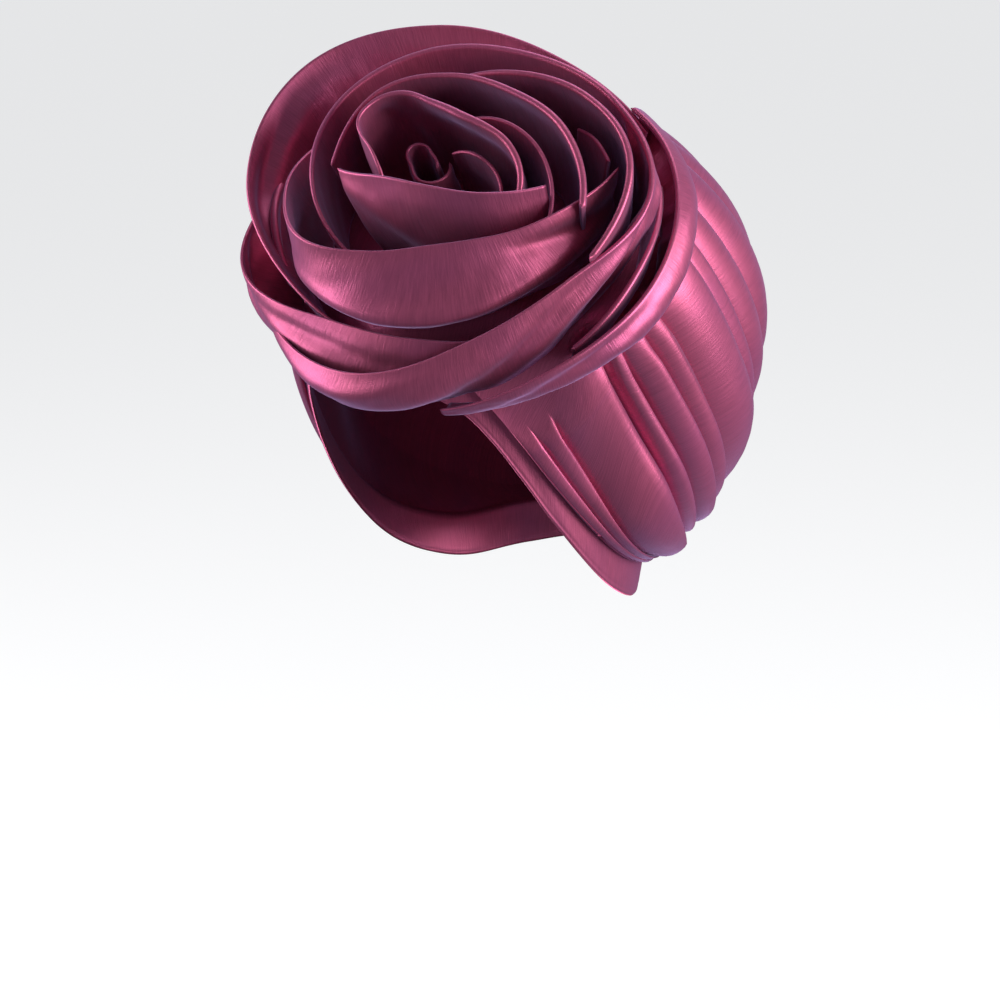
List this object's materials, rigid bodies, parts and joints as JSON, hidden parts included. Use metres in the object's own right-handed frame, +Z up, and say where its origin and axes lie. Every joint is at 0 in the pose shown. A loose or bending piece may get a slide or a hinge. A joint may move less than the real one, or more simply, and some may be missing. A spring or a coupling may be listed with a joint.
{
  "type": "tied gele head tie",
  "caption": "Tied gele head wrap: hollow pleated crown, fitted edge band and a large cloth rosette at the front.",
  "frame": {"origin": "inside the crown, at the centre of the head form, level with the hem at the forehead", "axes": "+Z up, wearer faces -Y, wearer's left is +X"},
  "size_m": [0.2473, 0.2855, 0.2799],
  "materials": {
    "band_taffeta": "shot taffeta with a satin sheen",
    "crown_taffeta": "shot taffeta with a satin sheen",
    "rosette_taffeta": "shot taffeta with a satin sheen"
  },
  "bodies": {
    "root": {"edge_band": "band_taffeta", "pleated_crown": "crown_taffeta", "rosette_bud": "rosette_taffeta", "rosette_core_fold": "rosette_taffeta", "rosette_heart_fold": "rosette_taffeta", "rosette_heart_petal": "rosette_taffeta", "rosette_front_petal": "rosette_taffeta", "rosette_upper_petal": "rosette_taffeta", "rosette_inner_ridge": "rosette_taffeta", "rosette_front_band": "rosette_taffeta", "rosette_upper_outer_fold": "rosette_taffeta", "rosette_left_fold": "rosette_taffeta", "rosette_spiral_wrap": "rosette_taffeta", "rosette_lower_left_wrap": "rosette_taffeta", "rosette_pocket_ridge": "rosette_taffeta", "rosette_right_wrap": "rosette_taffeta", "rosette_back_petal": "rosette_taffeta"}
  },
  "joints": []
}
